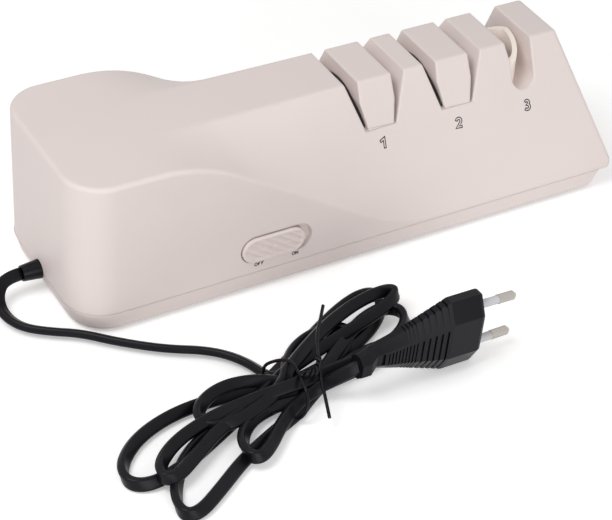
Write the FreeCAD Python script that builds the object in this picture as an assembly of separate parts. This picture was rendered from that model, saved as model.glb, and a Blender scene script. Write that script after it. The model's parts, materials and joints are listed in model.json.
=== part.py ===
import FreeCAD, Part
import math
import os
from FreeCAD import Vector

# Electric knife sharpener. Millimetres, X along the length, Z up, z = 0 under the feet.

# Overall sizes
LENGTH = 261.0
WIDTH = 80.0
HEIGHT = 72.6
RIDGE_W = 28.2
FOOT_H = 1.5
PART_Z = 10.1
WALL = 2.4
LEFT = -LENGTH / 2
RIGHT = LENGTH / 2

# Side crease, from the full-width motor block down to the foot of the ridge
BLOCK_END = -94.3
FALL_START = -59.0
FALL_END = 1.7
FOOT_END = 35.4
LAND = 1.4
CORNER_R = 17.3
RIM_R = 1.9
RIDGE_EASE = 1.1
END_R = 2.0

# Slanted right end with its undercut
END_TOP_X = 108.6
END_NOSE_Z = 14.0
END_FOOT_X = 123.8

# Shaft and grinding stages
SHAFT_Z = 44.0
SHAFT_R = 2.5
SPINDLE_R = 3.5
FIT = 0.03
SHARP_STAGES = (16.5, 54.8)
DISC_R = 20.6
DISC_TRAVEL = 1.4
SLOT_FLOOR_Z = 52.9
SLOT_HALF_FLOOR = 7.7
SLOT_HALF_TOP = 14.6
SLOT_WALL = 2.2
LIP_R = 0.6

# Stage 3
POLISH_X = 89.35
POLISH_SLOT_R = 5.65
POLISH_FLOOR_Z = 52.0
WHEEL_R = 15.6
WHEEL_X0 = 84.4
WHEEL_X1 = 88.1
WHEEL_X2 = 92.5

# Switch
SWITCH_Z = 22.1
RECESS_X0 = -58.0
RECESS_X1 = -24.8
RECESS_H = 13.2
RECESS_DEPTH = 2.2
KNOB_L = 29.2
KNOB_H = 12.2
SWITCH_GAP = 0.4

# Motor
STACK_X0 = -96.0
STACK_X1 = -72.0
BORE_R = 14.5
ROTOR_R = 14.2
BOLT_Y = 21.0

# Mains cord and plug
CORD_D = 5.4
EXIT_Z = 10.3
EXIT_X = LEFT - 8.0
HANK_H = 12.0
PLUG_X = 8.5
PLUG_Y = -114.1
PLUG_Z = 17.0
PLUG_TURN = 2.4
PLUG_PITCH = 3.1
PIN_TOE_IN = 1.1
PIN_R = 2.0
SLEEVE_R = 1.8

NODES = {}


def vec(x, y, z):
    return Vector(x, y, z)


def box(x0, x1, y0, y1, z0, z1):
    return Part.makeBox(x1 - x0, y1 - y0, z1 - z0, vec(x0, y0, z0))


def rod_x(r, x0, x1, y=0.0, z=SHAFT_Z):
    return Part.makeCylinder(r, x1 - x0, vec(x0, y, z), vec(1, 0, 0))


def rod_y(r, y0, y1, x, z):
    return Part.makeCylinder(r, y1 - y0, vec(x, y0, z), vec(0, 1, 0))


def rod_z(r, z0, z1, x, y):
    return Part.makeCylinder(r, z1 - z0, vec(x, y, z0), vec(0, 0, 1))


def pipe_x(r_out, r_in, x0, x1, y=0.0, z=SHAFT_Z):
    return rod_x(r_out, x0, x1, y, z).cut(rod_x(r_in, x0 - 1, x1 + 1, y, z))


def cone_x(r0, r1, x0, x1, y=0.0, z=SHAFT_Z):
    return Part.makeCone(r0, r1, x1 - x0, vec(x0, y, z), vec(1, 0, 0))


def prism_xz(points, y0, y1):
    wire = Part.makePolygon([vec(x, y0, z) for x, z in points] + [vec(points[0][0], y0, points[0][1])])
    return Part.Face(wire).extrude(vec(0, y1 - y0, 0))


def prism_yz(points, x0, x1):
    wire = Part.makePolygon([vec(x0, y, z) for y, z in points] + [vec(x0, *points[0])])
    return Part.Face(wire).extrude(vec(x1 - x0, 0, 0))


def plate_z(x0, x1, y0, y1, z0, z1, left_r, right_r, x0_top=None, x1_top=None, y_top=None):
    """Plan with rounded corners, upright or ruled to a second plan at z1."""
    def outline(a, b, c, d, z):
        parts = []
        corners = [((a, c), left_r, (1, 0), (0, 1)), ((a, d), left_r, (0, -1), (1, 0)),
                   ((b, d), right_r, (-1, 0), (0, -1)), ((b, c), right_r, (0, 1), (-1, 0))]
        ends = []
        for (cx, cy), r, start, end in corners:
            p = vec(cx + r * start[0], cy + r * start[1], z)
            q = vec(cx + r * end[0], cy + r * end[1], z)
            centre = vec(cx + r * (start[0] + end[0]), cy + r * (start[1] + end[1]), z)
            mid = centre + (vec(cx, cy, z) - centre) * math.sqrt(0.5)
            ends.append((p, mid, q))
        for i, (p, mid, q) in enumerate(ends):
            parts.append(Part.Arc(p, mid, q).toShape())
            parts.append(Part.makeLine(q, ends[(i + 1) % 4][0]))
        return Part.Wire(parts)
    low = outline(x0, x1, y0, y1, z0)
    if x0_top is None:
        return Part.Face(low).extrude(vec(0, 0, z1 - z0))
    return Part.makeLoft([low, outline(x0_top, x1_top, -y_top, y_top, z1)], True, True)


def crease_z(x):
    slope = (HEIGHT - PART_Z - LAND) / ((FALL_START - BLOCK_END) / 2 + (FALL_END - FALL_START)
                                        + (FOOT_END - FALL_END) / 2)
    if x <= BLOCK_END:
        return HEIGHT
    if x <= FALL_START:
        return HEIGHT - slope * (x - BLOCK_END) ** 2 / (2 * (FALL_START - BLOCK_END))
    if x <= FALL_END:
        return crease_z(FALL_START) - slope * (x - FALL_START)
    if x <= FOOT_END:
        return PART_Z + LAND + slope * (FOOT_END - x) ** 2 / (2 * (FOOT_END - FALL_END))
    return PART_Z + LAND


def section(x, inset=0.0):
    """Closed YZ profile of the upper housing at x, eased at the ridge edges when it is the outside."""
    zc = crease_z(x)
    dy, dz = (WIDTH - RIDGE_W) / 2, HEIGHT - zc
    run = math.hypot(dy, dz)
    dy, dz = dy / run, dz / run

    def shifted(y, z, other):
        k = inset / (1 + dz * other[0] - dy * other[1])
        return y + k * (dz + other[0]), z + k * (other[1] - dy)
    crease = shifted(-WIDTH / 2, zc, (1, 0))
    ridge = shifted(-RIDGE_W / 2, HEIGHT, (0, -1))
    foot = (-WIDTH / 2 + inset, PART_Z - inset)
    if inset:
        half = [foot, crease, ridge]
        points = half + [(-y, z) for y, z in reversed(half)]
        return Part.makePolygon([vec(x, y, z) for y, z in points] + [vec(x, *points[0])])
    before = vec(x, ridge[0] - dy * RIDGE_EASE, ridge[1] - dz * RIDGE_EASE)
    after = vec(x, ridge[0] + RIDGE_EASE, ridge[1])
    corner = vec(x, *ridge)

    def mirror(p):
        return vec(p.x, -p.y, p.z)

    def ease(p, q, r):
        curve = Part.BezierCurve()
        curve.setPoles([p, q, r])
        return curve.toShape()
    a, b = vec(x, *foot), vec(x, *crease)
    return Part.Wire([Part.makeLine(a, b), Part.makeLine(b, before), ease(before, corner, after),
                      Part.makeLine(after, mirror(after)), ease(mirror(after), mirror(corner), mirror(before)),
                      Part.makeLine(mirror(before), mirror(b)), Part.makeLine(mirror(b), mirror(a)),
                      Part.makeLine(mirror(a), a)])


def end_x(z, inset=0.0):
    """Right end face: slanted above the nose, undercut below it."""
    lean = (RIGHT - END_TOP_X) / (HEIGHT - END_NOSE_Z)
    under = (RIGHT - END_FOOT_X) / (END_NOSE_Z - FOOT_H)
    if z >= END_NOSE_Z:
        return RIGHT - lean * (z - END_NOSE_Z) - inset * math.hypot(1, lean)
    return RIGHT - under * (END_NOSE_Z - z) - inset * math.hypot(1, under)


def housing_form(inset=0.0):
    block = Part.Face(section(BLOCK_END, inset)).extrude(vec(LEFT + inset - BLOCK_END, 0, 0))
    corner = plate_z(LEFT + inset, RIGHT + 20, -WIDTH / 2 + inset, WIDTH / 2 - inset, 0, HEIGHT + 5,
                     CORNER_R - inset, 1)
    spans = [(BLOCK_END, FALL_START, False), (FALL_START, FALL_END, True), (FALL_END, FOOT_END, False)]
    parts = []
    for x0, x1, ruled in spans:
        stations = (x0, x1) if ruled else (x0, (x0 + x1) / 2, x1)
        parts.append(Part.makeLoft([section(x, inset) for x in stations], True, ruled))
    parts.append(Part.Face(section(FOOT_END, inset)).extrude(vec(RIGHT + 5 - FOOT_END, 0, 0)))
    form = block.common(corner).fuse(parts).removeSplitter()
    low, top = PART_Z - inset, HEIGHT + 5
    profile = [(LEFT - 5, low), (end_x(low, inset), low), (end_x(END_NOSE_Z, inset), END_NOSE_Z),
               (end_x(top, inset), top), (LEFT - 5, top)]
    return form.common(prism_xz(profile, -WIDTH, WIDTH))


def on_rim(p):
    if abs(p.z - crease_z(p.x)) > 0.05 or p.x > FOOT_END + 0.1:
        return False
    if p.x < LEFT + CORNER_R + 0.01:
        from_centre = math.hypot(p.x - LEFT - CORNER_R, abs(p.y) - WIDTH / 2 + CORNER_R)
        return abs(p.x - LEFT) < 0.02 or abs(from_centre - CORNER_R) < 0.02
    return abs(abs(p.y) - WIDTH / 2) < 0.02


def on_end(p):
    return p.z > END_NOSE_Z - 0.01 and abs(p.x - end_x(p.z)) < 0.02


def edges_where(shape, test):
    found = []
    for edge in shape.Edges:
        a, b = edge.FirstParameter, edge.LastParameter
        if all(test(edge.valueAt(a + (b - a) * k)) for k in (0.02, 0.3, 0.5, 0.7, 0.98)):
            found.append(edge)
    return found


def v_slot(centre, grow=0.0):
    lean = (SLOT_HALF_TOP - SLOT_HALF_FLOOR) / (HEIGHT - SLOT_FLOOR_Z)
    low, top = SLOT_FLOOR_Z - grow, HEIGHT + 10

    def half(z):
        return SLOT_HALF_FLOOR + lean * (z - SLOT_FLOOR_Z) + grow * math.hypot(1, lean)
    return prism_xz([(centre - half(low), low), (centre + half(low), low),
                     (centre + half(top), top), (centre - half(top), top)], -WIDTH, WIDTH)


def u_slot(grow=0.0):
    """Stage 3: upright walls, a round bottom, and a left wall that leans out near the top."""
    r = POLISH_SLOT_R + grow
    zc = POLISH_FLOOR_Z + POLISH_SLOT_R
    top = HEIGHT + 10
    y = -WIDTH
    right_top, right_low = vec(POLISH_X + r, y, top), vec(POLISH_X + r, y, zc)
    left_low, left_bend = vec(POLISH_X - r, y, zc), vec(POLISH_X - r, y, 64.2)
    left_top = vec(POLISH_X - r - 1.9 * (top - 64.2) / (HEIGHT - 64.2), y, top)
    wire = Part.Wire([Part.makeLine(right_top, right_low),
                      Part.Arc(right_low, vec(POLISH_X, y, zc - r), left_low).toShape(),
                      Part.makeLine(left_low, left_bend), Part.makeLine(left_bend, left_top),
                      Part.makeLine(left_top, right_top)])
    return Part.Face(wire).extrude(vec(0, 2 * WIDTH, 0))


def on_shell(p, slack=0.05):
    """Whether p lies on the outside of the housing's ridge or its side slopes."""
    slope = (HEIGHT - PART_Z - LAND) / ((WIDTH - RIDGE_W) / 2)
    return abs(p.z - HEIGHT) < slack or abs(HEIGHT - slope * (abs(p.y) - RIDGE_W / 2) - p.z) < slack


def on_mouth(p):
    """Whether p lies where a slot's wall meets the outside."""
    if not on_shell(p, 0.4):
        return False
    lean = (SLOT_HALF_TOP - SLOT_HALF_FLOOR) / (HEIGHT - SLOT_FLOOR_Z)
    for stage in SHARP_STAGES:
        if abs(abs(p.x - stage) - SLOT_HALF_FLOOR - lean * (p.z - SLOT_FLOOR_Z)) < 0.02:
            return True
    low_z = POLISH_FLOOR_Z + POLISH_SLOT_R
    if p.z < low_z:
        return abs(math.hypot(p.x - POLISH_X, p.z - low_z) - POLISH_SLOT_R) < 0.02
    left_x = POLISH_X - POLISH_SLOT_R - 1.9 * max(0.0, p.z - 64.2) / (HEIGHT - 64.2)
    return abs(p.x - POLISH_X - POLISH_SLOT_R) < 0.02 or abs(p.x - left_x) < 0.02


def stadium_y(x0, x1, z, height, y0, y1):
    r = height / 2
    body = box(x0 + r, x1 - r, y0, y1, z - r, z + r)
    return body.fuse([rod_y(r, y0, y1, x0 + r, z), rod_y(r, y0, y1, x1 - r, z)]).removeSplitter()


def screw_z(x, y, bearing_z, tip_z, head_r=2.8, shank_r=1.45):
    """Screw along Z whose head bears on bearing_z, on the side away from its tip, with a slotted head."""
    up = 1 if bearing_z > tip_z else -1
    z0, z1 = sorted((bearing_z, bearing_z + up * 1.8))
    s0, s1 = sorted((bearing_z, tip_z))
    head, shank = rod_z(head_r, z0, z1, x, y), rod_z(shank_r, s0, s1, x, y)
    d0, d1 = sorted((bearing_z + up * 1.0, bearing_z + up * 3.0))
    return head.fuse(shank).cut(box(x - 3, x + 3, y - 0.35, y + 0.35, d0, d1))


def route_wire(points, label):
    """Straight runs joined by arcs of 0.45 of the shorter run at each corner."""
    edges, radii = [], []
    start = points[0]
    for i in range(1, len(points) - 1):
        before, corner, after = points[i - 1], points[i], points[i + 1]
        u = (corner - before).normalize()
        w = (after - corner).normalize()
        turn = math.acos(max(-1.0, min(1.0, u.dot(w))))
        cut = 0.45 * min((corner - before).Length, (after - corner).Length)
        radius = cut / math.tan(turn / 2)
        radii.append(round(radius, 1))
        p, q = corner - u * cut, corner + w * cut
        inward = (w - u).normalize()
        mid = corner + inward * (radius / math.cos(turn / 2) - radius)
        edges.append(Part.LineSegment(start, p).toShape())
        edges.append(Part.Arc(p, mid, q).toShape())
        start = q
    edges.append(Part.LineSegment(start, points[-1]).toShape())
    wire = Part.Wire(edges)
    print(label, "radii", radii, "length", round(wire.Length, 1))
    return wire


def tube(points, diameter, label):
    wire = route_wire(points, label)
    along = (points[1] - points[0]).normalize()
    ring = Part.Wire(Part.Edge(Part.Circle(points[0], along, diameter / 2)))
    solid = wire.makePipeShell([ring], True, False)
    print(label, "volume", round(solid.Volume), "of", round(math.pi * diameter ** 2 / 4 * wire.Length))
    return solid


# Housing
SCREWS = [(-112.0, 29.0), (-112.0, -29.0), (-8.0, 33.0), (-8.0, -33.0), (112.0, 28.0), (112.0, -28.0)]
outer = housing_form()
outer = outer.makeFillet(RIM_R, edges_where(outer, on_rim))
outer = outer.makeFillet(END_R, edges_where(outer, on_end))
shell = outer.cut(u_slot())
for stage in SHARP_STAGES:
    shell = shell.cut(v_slot(stage))
shell = shell.makeFillet(LIP_R, edges_where(shell, on_mouth))
cavity = housing_form(WALL)
for stage in SHARP_STAGES:
    cavity = cavity.cut(v_slot(stage, SLOT_WALL))
cavity = cavity.cut(u_slot(SLOT_WALL))
for x, y in SCREWS:
    cavity = cavity.cut(rod_z(3.6, PART_Z, HEIGHT, x, y))
housing = shell.cut(cavity)

recess_boss = stadium_y(RECESS_X0 - 2, RECESS_X1 + 2, SWITCH_Z, RECESS_H + 4,
                        -WIDTH / 2 + WALL - 0.2, -WIDTH / 2 + RECESS_DEPTH + WALL)
switch_posts = [rod_y(3.0, -WIDTH / 2 + WALL - 0.2, -31.4, x, SWITCH_Z) for x in (-63.5, -19.3)]
housing = housing.fuse([recess_boss] + switch_posts).removeSplitter()
for x, y in SCREWS:
    housing = housing.cut(rod_z(1.5, PART_Z - 1, 22, x, y))
for x in (-63.5, -19.3):
    housing = housing.cut(rod_y(0.9, -37.0, -31.0, x, SWITCH_Z))
housing = housing.cut(stadium_y(RECESS_X0, RECESS_X1, SWITCH_Z, RECESS_H,
                                -WIDTH / 2 - 1, -WIDTH / 2 + RECESS_DEPTH))
KNOB_X0 = RECESS_X0 + SWITCH_GAP
SWITCH_TRAVEL = RECESS_X1 - RECESS_X0 - KNOB_L - 2 * SWITCH_GAP
STEM_X0, STEM_X1 = KNOB_X0 + 10.6, KNOB_X0 + 16.6
housing = housing.cut(box(STEM_X0 - 0.5, STEM_X1 + SWITCH_TRAVEL + 0.5, -39, -35, SWITCH_Z - 2.3, SWITCH_Z + 2.3))

disc_clear = DISC_R + 0.8
for stage in SHARP_STAGES:
    housing = housing.cut(rod_x(disc_clear, stage - 8.3, stage + 8.3))
    for side in (-1, 1):
        y0, y1 = sorted((side * 20.3, side * 21.7))
        housing = housing.cut(box(stage - 2.2, stage + 2.2, y0, y1, 49, 54))
wheel_clear = rod_x(WHEEL_R + 0.7, WHEEL_X0 - 0.5, WHEEL_X1 + 0.5)
wheel_clear = wheel_clear.fuse(cone_x(WHEEL_R + 0.7, 8.3, WHEEL_X1 + 0.5, WHEEL_X2 + 0.6))
housing = housing.cut(wheel_clear)
relief_hole = rod_x(3.25, LEFT - 2, LEFT + 6, 0, EXIT_Z)
NODES["upper_housing"] = housing.cut(relief_hole)

# Base cover
base = plate_z(LEFT + 2.5, END_FOOT_X, -WIDTH / 2 + 0.9, WIDTH / 2 - 0.9, FOOT_H, PART_Z,
               CORNER_R - 1, 6.0, LEFT, end_x(PART_Z), WIDTH / 2)
base = base.makeFillet(1.5, edges_where(base, lambda p: abs(p.z - FOOT_H) < 0.01))
floor_z = FOOT_H + WALL
base = base.cut(plate_z(LEFT + 2.5 + WALL, END_FOOT_X - WALL, -WIDTH / 2 + 0.9 + WALL, WIDTH / 2 - 0.9 - WALL,
                        floor_z, PART_Z + 1, CORNER_R - WALL, 4.0))
LEG_Y = 21.0
MOTOR_FEET = [(-112.0, LEG_Y), (-112.0, -LEG_Y), (-56.0, LEG_Y), (-56.0, -LEG_Y)]
SUPPORTS = (-12.0, 33.0, 100.0)
SUPPORT_T = 5.0
SUPPORT_FEET = [(x + SUPPORT_T / 2, y) for x in SUPPORTS for y in (-17.0, 17.0)]
CLAMP_SCREWS = [(-122.5, -7.5), (-122.5, 7.5)]
PAD_Z = 7.0
posts = [rod_z(3.6, floor_z - 0.5, PART_Z, x, y) for x, y in SCREWS]
posts += [rod_z(3.4, floor_z - 0.5, PAD_Z, x, y) for x, y in MOTOR_FEET + SUPPORT_FEET]
posts += [rod_z(2.6, floor_z - 0.5, PAD_Z, x, y) for x, y in CLAMP_SCREWS]
posts.append(box(-126.0, -119.0, -4.5, 4.5, floor_z - 0.5, EXIT_Z - CORD_D / 2))
base = base.fuse(posts)
for x, y in SCREWS:
    base = base.cut(rod_z(3.1, 0, 5.2, x, y)).cut(rod_z(1.7, 0, PART_Z + 1, x, y))
for x, y in MOTOR_FEET + SUPPORT_FEET:
    base = base.cut(rod_z(1.5, 3.2, PAD_Z + 1, x, y))
for x, y in CLAMP_SCREWS:
    base = base.cut(rod_z(1.1, 3.2, PAD_Z + 1, x, y))
FEET = [(-96.0, 27.5), (-96.0, -27.5), (103.0, 19.0), (103.0, -19.0)]
for x, y in FEET:
    base = base.cut(rod_z(6.2, FOOT_H - 1, FOOT_H + 0.8, x, y))
for row in range(6):
    x = -94.0 + 6.4 * row
    base = base.cut(box(x, x + 2.8, -13, 13, 0, floor_z + 1))
base = base.cut(rod_x(4.9, LEFT + WALL, LEFT + WALL + 3, 0, EXIT_Z))
NODES["base_cover"] = base.cut(relief_hole)
NODES["rubber_feet"] = Part.makeCompound([rod_z(6.2, FOOT_H, FOOT_H + 0.8, x, y).fuse(
    Part.makeCone(5.4, 6.2, FOOT_H, vec(x, y, 0), vec(0, 0, 1))) for x, y in FEET])
NODES["housing_screws"] = Part.makeCompound(
    [screw_z(x, y, 5.2, 20.0) for x, y in SCREWS])

# Guide blocks of stages 1 and 2
BLOCK_EASE = 0.7


BLOCK_PROFILE = [(8.0, HEIGHT + 2), (8.5, 63.8), (6.3, SLOT_FLOOR_Z)]
for number, stage in enumerate(SHARP_STAGES, 1):
    right = [(stage + h, z) for h, z in reversed(BLOCK_PROFILE)]
    left = [(stage - h, z) for h, z in BLOCK_PROFILE]
    block = prism_xz(right + left, -30, 30).common(outer)
    block = block.makeFillet(BLOCK_EASE, edges_where(block, lambda p: abs(abs(p.x - stage) - 8.0) < 0.7
                                                     and p.z > 63.0 and on_shell(p)))
    block = block.cut(rod_x(DISC_R + 1.8, stage - 10, stage + 10))
    hooks = []
    for side in (-1, 1):
        y0, y1 = sorted((side * 20.6, side * 21.4))
        hooks.append(box(stage - 2, stage + 2, y0, y1, 48.6, SLOT_FLOOR_Z + 0.4))
        y0, y1 = sorted((side * 20.1, side * 21.4))
        hooks.append(box(stage - 2, stage + 2, y0, y1, 48.6, 50.3))
    NODES["guide_block_%d" % number] = block.fuse(hooks).removeSplitter()

# Stage 3 hood: bows out from the slot's wall and turns back to it behind its crest
hood_x = POLISH_X - POLISH_SLOT_R
HOOD_CREST_Y = -1.0


def hood_plan(reach, front, back, z0, z1):
    parts = []
    for run, side in ((front, -1), (back, 1)):
        long_r, short_r = max(run, reach), min(run, reach)
        along = vec(0, long_r, 0) if run >= reach else vec(long_r, 0, 0)
        across = vec(short_r, 0, 0) if run >= reach else vec(0, short_r, 0)
        ring = Part.Face(Part.Wire([Part.Ellipse(along, across, vec(0, 0, 0)).toShape()]))
        ring.translate(vec(hood_x, HOOD_CREST_Y, z0))
        y0, y1 = sorted((HOOD_CREST_Y, HOOD_CREST_Y + side * 40))
        parts.append(ring.extrude(vec(0, 0, z1 - z0)).common(box(50, 120, y0, y1, z0, z1)))
    return parts[0].fuse(parts[1]).removeSplitter()


hood = hood_plan(8.9, 16.6, 4.6, 50, 72).cut(hood_plan(6.5, 14.2, 2.6, 49, 73))
hood = hood.common(rod_x(26.1, hood_x - 5, hood_x + 15)).common(u_slot()).common(outer)
NODES["stage_3_hood"] = hood.cut(wheel_clear)

# Switch
knob = stadium_y(KNOB_X0, KNOB_X0 + KNOB_L, SWITCH_Z, KNOB_H, -WIDTH / 2 - 1.3, -WIDTH / 2 + RECESS_DEPTH - 0.2)
knob = knob.fuse(box(STEM_X0, STEM_X1, -38.2, -33.6, SWITCH_Z - 1.9, SWITCH_Z + 1.9))
knob = knob.cut(box(STEM_X0 + 1.4, STEM_X1 - 1.4, -36.6, -33, SWITCH_Z - 1.0, SWITCH_Z + 1.0))
for k in range(8):
    x = KNOB_X0 + 6.2 + 2.4 * k
    rib = box(-0.35, 0.35, -0.4, 0.4, -4.2, 4.2)
    rib.rotate(vec(0, 0, 0), vec(0, 1, 0), 32)
    rib.translate(vec(x, -WIDTH / 2 - 1.4, SWITCH_Z))
    knob = knob.fuse(rib)
NODES["switch_slider"] = knob.removeSplitter()
NODES["switch_actuator"] = box(STEM_X0 + 1.4, STEM_X1 - 1.4, -36.6, -27.0, SWITCH_Z - 1.0, SWITCH_Z + 1.0)
case = box(-67.0, -15.8, -31.4, -30.4, SWITCH_Z - 3.2, SWITCH_Z + 3.2)
case = case.fuse(box(-54.0, -31.0, -30.4, -20.5, SWITCH_Z - 6, SWITCH_Z + 6))
case = case.cut(box(STEM_X0 + 0.8, STEM_X1 + SWITCH_TRAVEL - 0.8, -32, -26.4, SWITCH_Z - 1.4, SWITCH_Z + 1.4))
for x in (-63.5, -19.3):
    case = case.cut(rod_y(1.2, -33, -29, x, SWITCH_Z))
for x in (-49.0, -42.5, -36.0):
    case = case.fuse(box(x - 1.4, x + 1.4, -20.5, -15.5, SWITCH_Z - 0.3, SWITCH_Z + 0.3))
NODES["slide_switch"] = case.removeSplitter()
NODES["switch_screws"] = Part.makeCompound(
    [rod_y(2.0, -30.4, -29.2, x, SWITCH_Z).fuse(rod_y(0.85, -36.0, -30.4, x, SWITCH_Z)) for x in (-63.5, -19.3)])

# Motor
stack = box(STACK_X0, STACK_X1, -26, 26, 13, 66)
stack = stack.cut(box(STACK_X0 - 1, STACK_X1 + 1, -16, 16, 21.5, 33)).cut(rod_x(BORE_R, STACK_X0 - 1, STACK_X1 + 1))
for y in (-BOLT_Y, BOLT_Y):
    stack = stack.cut(rod_x(2.0, STACK_X0 - 1, STACK_X1 + 1, y))
NODES["stator_core"] = stack
leg = box(STACK_X0, STACK_X1, -16, 16, 13, 21.5)


def round_leg(grow, y0, y1):
    return box(STACK_X0 - grow, STACK_X1 + grow, y0, y1, 13 - grow, 21.5 + grow)


bobbin = round_leg(1.0, -14.6, 14.6).fuse([round_leg(7.2, -16, -14.6), round_leg(7.2, 14.6, 16)])
NODES["coil_bobbin"] = bobbin.cut(leg).removeSplitter()
winding = round_leg(6.4, -14.6, 14.6).cut(round_leg(1.0, -15, 15))
NODES["coil_winding"] = winding.makeFillet(2.5, edges_where(winding, lambda p: min(
    abs(p.x - STACK_X0 + 6.4), abs(p.x - STACK_X1 - 6.4)) < 0.01 and min(
    abs(p.z - 13 + 6.4), abs(p.z - 21.5 - 6.4)) < 0.01))


def bearing_bracket(plate_x, out):
    """Die-cast bracket: cross bar with spacers to the stack, bearing boss, two legs with foot pads."""
    t = 3.0
    x0, x1 = sorted((plate_x, plate_x + out * t))
    stack_x = STACK_X0 if out < 0 else STACK_X1
    bar = box(x0, x1, -25, 25, 37, 51)
    legs = [box(x0, x1, min(s * 17, s * 25), max(s * 17, s * 25), PAD_Z, 51) for s in (-1, 1)]
    f0, f1 = sorted((plate_x, plate_x + out * 10))
    pads = [box(f0, f1, min(s * 17, s * 25), max(s * 17, s * 25), PAD_Z, PAD_Z + 2.5) for s in (-1, 1)]
    s0, s1 = sorted((stack_x, plate_x))
    spacers = [rod_x(4.0, s0, s1, y) for y in (-BOLT_Y, BOLT_Y)]
    boss = rod_x(7.5, x0 - 1.2, x1 + 1.2)
    part = bar.fuse(legs + pads + spacers + [boss]).cut(rod_x(5.0, x0 - 3, x1 + 3))
    for y in (-BOLT_Y, BOLT_Y):
        part = part.cut(rod_x(2.0, s0 - 5, s1 + 5, y))
    for x, y in MOTOR_FEET:
        if f0 < x < f1:
            part = part.cut(rod_z(1.7, 0, 20, x, y))
    return part.removeSplitter()


BRACKET_L, BRACKET_R = -105.0, -63.0
NODES["bearing_bracket_left"] = bearing_bracket(BRACKET_L, -1)
NODES["bearing_bracket_right"] = bearing_bracket(BRACKET_R, 1)
bolt_x0, bolt_x1 = BRACKET_L - 3, BRACKET_R + 3
bolts = []
for y in (-BOLT_Y, BOLT_Y):
    bolt = rod_x(1.95, bolt_x0, bolt_x1 + 3, y).fuse(rod_x(3.4, bolt_x0 - 2.2, bolt_x0, y))
    bolts.append(bolt.fuse(Part.Face(Part.makePolygon([vec(bolt_x1, y + 3.5 * math.cos(math.radians(60 * k)),
                                                           SHAFT_Z + 3.5 * math.sin(math.radians(60 * k)))
                                                       for k in range(7)])).extrude(vec(2.2, 0, 0))))
NODES["motor_bolts"] = Part.makeCompound(bolts)
NODES["motor_mount_screws"] = Part.makeCompound(
    [screw_z(x, y, PAD_Z + 2.5, 3.6) for x, y in MOTOR_FEET])
NODES["motor_bushes"] = Part.makeCompound([pipe_x(5.0, SHAFT_R + FIT, x - 2.7, x + 2.7)
                                           for x in (BRACKET_L - 1.5, BRACKET_R + 1.5)])
rotor = rod_x(ROTOR_R, STACK_X0, STACK_X1).fuse([rod_x(11.5, STACK_X0 - 3, STACK_X0), rod_x(11.5, STACK_X1, STACK_X1 + 3)])
NODES["rotor_core"] = rotor.cut(rod_x(SHAFT_R, -120, -40))
NODES["motor_shaft"] = rod_x(SHAFT_R, -112.0, -42.0)
fan = pipe_x(5.5, SHAFT_R, -56.5, -48.5).fuse(pipe_x(18.5, 4, -50.0, -48.5))
for k in range(9):
    blade = box(-56.0, -50.0, -0.6, 0.6, 8.0, 18.0)
    blade.rotate(vec(0, 0, 8), vec(0, 0, 1), 24)
    blade.rotate(vec(-53, 0, 0), vec(1, 0, 0), 40 * k)
    blade.translate(vec(0, 0, SHAFT_Z))
    fan = fan.fuse(blade.common(rod_x(18.5, -57.5, -48.5)))
NODES["cooling_fan"] = fan.removeSplitter()
SPINDLE_X0, SPINDLE_X1 = -38.0, 107.5
coupling = rod_x(7.0, -46.5, -26.5).cut(rod_x(SHAFT_R, -48, -42)).cut(rod_x(SPINDLE_R, SPINDLE_X0, -20))
NODES["shaft_coupling"] = coupling.cut(rod_x(SPINDLE_R, -42.0, SPINDLE_X0 + 0.01))

# Spindle and its supports
bushes = []
for number, x in enumerate(SUPPORTS, 1):
    x1 = x + SUPPORT_T
    upright = prism_yz([(-9, SHAFT_Z + 4), (-13, 12), (-21, 9.5), (-21, PAD_Z), (21, PAD_Z), (21, 9.5),
                        (13, 12), (9, SHAFT_Z + 4)], x, x1)
    part = upright.fuse(rod_x(9.0, x, x1)).cut(rod_x(6.0, x - 1, x1 + 1))
    part = part.cut(prism_yz([(-6, 16), (-4, 30), (4, 30), (6, 16)], x - 1, x1 + 1))
    for y in (-17.0, 17.0):
        part = part.cut(rod_z(1.7, 0, 14, x + SUPPORT_T / 2, y)).cut(rod_z(2.5, 9.5, 14, x + SUPPORT_T / 2, y))
    NODES["spindle_support_%d" % number] = part.removeSplitter()
    bushes.append(pipe_x(6.0, SPINDLE_R + FIT, x - 0.6, x1 + 0.6))
NODES["spindle_bushes"] = Part.makeCompound(bushes)
NODES["bracket_screws"] = Part.makeCompound(
    [screw_z(x, y, 9.5, 3.6, 2.4, 1.45) for x, y in SUPPORT_FEET])

# Grinding discs, each on a hub that slides on the spindle against its spring
HUB_R = 6.0
PIN_OFFSET = 3.2
SPRING_R = 7.6
SPRING_WIRE = 0.45
SPRING_HALF = 3.65
SPRING_TURNS = 3


def coil_spring(centre):
    """Compression spring drawn at its shortest, its wire a ruled tube of six sides."""
    steps = 12 * SPRING_TURNS
    pitch = (2 * SPRING_HALF - 2 * SPRING_WIRE) / SPRING_TURNS
    rings = []
    for k in range(steps + 1):
        around = 2 * math.pi * k / 12
        x = centre - SPRING_HALF + SPRING_WIRE + pitch * k / 12
        corners = []
        for side in range(6):
            a = math.pi * side / 3
            r = SPRING_R + SPRING_WIRE * math.cos(a)
            corners.append(vec(x + SPRING_WIRE * math.sin(a), r * math.cos(around), SHAFT_Z + r * math.sin(around)))
        rings.append(Part.makePolygon(corners + corners[:1]))
    return Part.makeLoft(rings, True, True)


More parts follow.
